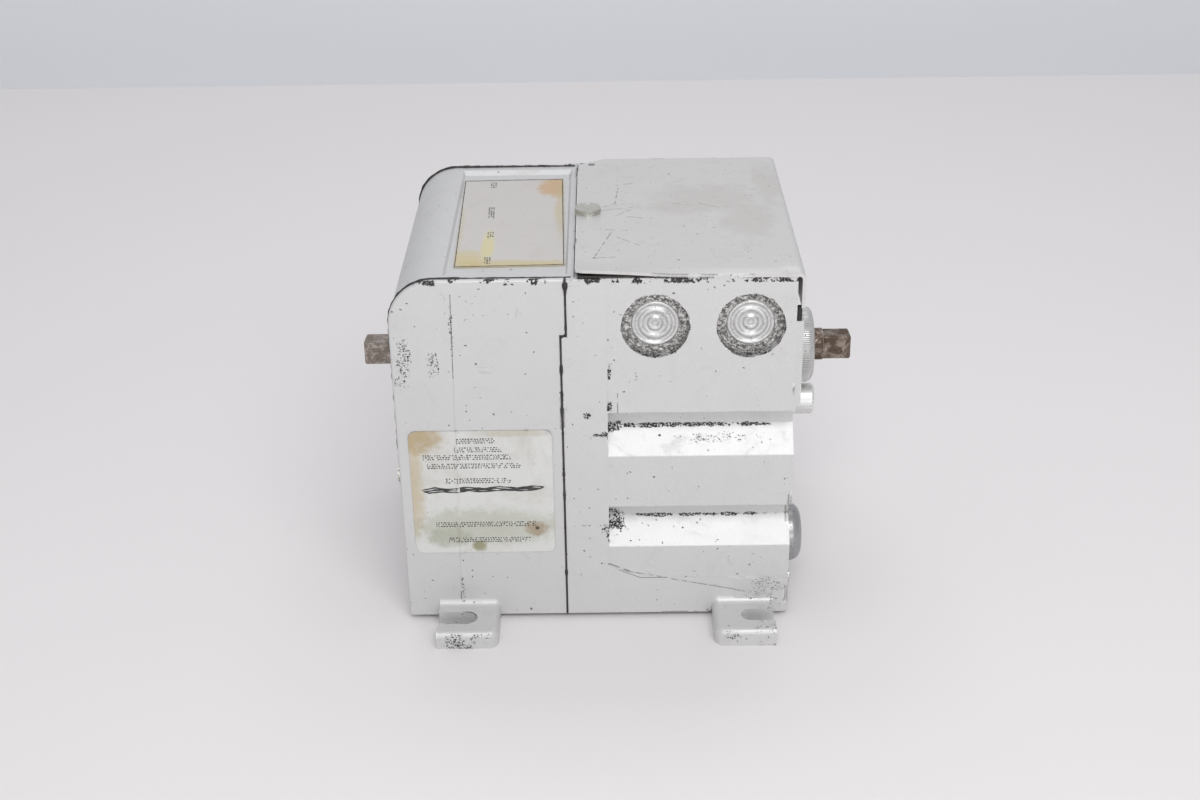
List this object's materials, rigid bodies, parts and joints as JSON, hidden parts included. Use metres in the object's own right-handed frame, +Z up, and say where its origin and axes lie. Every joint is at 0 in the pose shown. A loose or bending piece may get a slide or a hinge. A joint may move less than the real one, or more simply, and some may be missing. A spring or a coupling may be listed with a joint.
{
  "type": "motorized valve actuator",
  "caption": "Two-part cast valve actuator with slotted feet, square-ended output shaft, serrated dial, gear cover, sheet wiring cover and wiring knockouts.",
  "frame": {"origin": "on the plane the feet stand on, under the middle of the output shaft's length", "axes": "+X along the output shaft towards the power end with the serrated dial, +Y to the back, +Z up"},
  "size_m": [0.1926, 0.161, 0.1474],
  "materials": {
    "cast_paint": "satin silver-grey paint on die casting",
    "cover_paint": "satin silver-grey paint on sheet",
    "shaft_steel": "lightly rusted steel",
    "bright_steel": "zinc plated",
    "polished_steel": "polished",
    "bronze": "sintered bronze",
    "brass": "machined",
    "gasket_rubber": "matte",
    "plate_yellow": "stained",
    "label_paper": "stained paper film",
    "bakelite": "phenolic",
    "lamination": "varnished laminations",
    "copper": "enamelled winding",
    "dial_zinc": "dull",
    "capacitor_can": "drawn can"
  },
  "bodies": {
    "casing": {"capacitor": "capacitor_can", "centre_bush": "bronze", "feedback_winding": "bakelite", "gear_cover": "cast_paint", "gear_cover_screws": "bright_steel", "gear_housing": "cast_paint", "gear_pillars": "bright_steel", "gear_plate_screws": "bright_steel", "housing_gasket": "gasket_rubber", "housing_screws": "bright_steel", "inner_gear_plate": "bright_steel", "knockout_discs": "dial_zinc", "left_bush": "bronze", "left_shaft_seal": "gasket_rubber", "limit_switches": "bakelite", "motor_bolts": "bright_steel", "motor_bracket": "bright_steel", "motor_housing": "cast_paint", "motor_spacers": "bright_steel", "nameplate": "plate_yellow", "outer_gear_plate": "bright_steel", "power_end_bush": "bronze", "power_end_plate": "cast_paint", "power_end_screws": "bright_steel", "power_end_stub": "polished_steel", "relay_coils": "copper", "relay_frame": "bright_steel", "rotor_bearing": "bronze", "rotor_seal": "gasket_rubber", "service_label": "label_paper", "snap_cap": "polished_steel", "stator_coils": "copper", "stator_core": "lamination", "switch_bracket": "bright_steel", "terminal_block": "bakelite", "terminal_screws": "bright_steel", "transformer_core": "lamination", "transformer_winding": "copper", "wiring_cover": "cover_paint", "wiring_cover_gasket": "gasket_rubber", "wiring_cover_screw": "bright_steel"},
    "output": {"main_shaft": "shaft_steel", "serrated_dial": "dial_zinc", "output_gear": "bright_steel", "limit_cams": "bakelite", "wiper_arm": "polished_steel"},
    "third_compound": {"third_arbor": "bright_steel", "third_gear": "bright_steel"},
    "second_compound": {"second_arbor": "bright_steel", "second_gear": "brass"},
    "first_compound": {"first_arbor": "bright_steel", "first_gear": "brass"},
    "motor_rotor": {"rotor_shaft": "bright_steel", "rotor_core": "lamination"},
    "closed_lever": {"closed_switch_lever": "polished_steel"},
    "open_lever": {"open_switch_lever": "polished_steel"},
    "armature": {"relay_armature": "bright_steel"}
  },
  "joints": [
    {"name": "rotor_spin", "type": "hinge", "parent": "casing", "child": "motor_rotor", "pos_m": [0, 0.01013, 0.03785], "axis": [1, 0, 0], "range_deg": [0, 96000]},
    {"name": "first_spin", "type": "hinge", "parent": "casing", "child": "first_compound", "pos_m": [-0.03, -0.00386, 0.04918], "axis": [1, 0, 0], "range_deg": [-19200, 0]},
    {"name": "second_spin", "type": "hinge", "parent": "casing", "child": "second_compound", "pos_m": [-0.03, -0.01998, 0.03768], "axis": [1, 0, 0], "range_deg": [0, 4266.67]},
    {"name": "third_spin", "type": "hinge", "parent": "casing", "child": "third_compound", "pos_m": [-0.04, -0.03391, 0.05722], "axis": [1, 0, 0], "range_deg": [-1066.67, 0]},
    {"name": "output_turn", "type": "hinge", "parent": "casing", "child": "output", "pos_m": [0, 0, 0.0883], "axis": [1, 0, 0], "range_deg": [0, 160]},
    {"name": "closed_lever_press", "type": "hinge", "parent": "casing", "child": "closed_lever", "pos_m": [0.01525, 0.0141, 0.0713], "axis": [-1, 0, 0], "range_deg": [0, 3], "stiffness_Nm_per_rad": 0.02},
    {"name": "open_lever_press", "type": "hinge", "parent": "casing", "child": "open_lever", "pos_m": [0.02425, 0.0141, 0.0713], "axis": [-1, 0, 0], "range_deg": [0, 3], "stiffness_Nm_per_rad": 0.02},
    {"name": "armature_rock", "type": "hinge", "parent": "casing", "child": "armature", "pos_m": [0.04525, 0.01, 0.132], "axis": [1, 0, 0], "range_deg": [-3, 3], "stiffness_Nm_per_rad": 0.02}
  ],
  "couplings": [
    {"joint": "first_spin", "follows": "rotor_spin", "ratio": -0.2},
    {"joint": "second_spin", "follows": "rotor_spin", "ratio": 0.044444},
    {"joint": "third_spin", "follows": "rotor_spin", "ratio": -0.011111},
    {"joint": "output_turn", "follows": "rotor_spin", "ratio": 0.0016667}
  ]
}
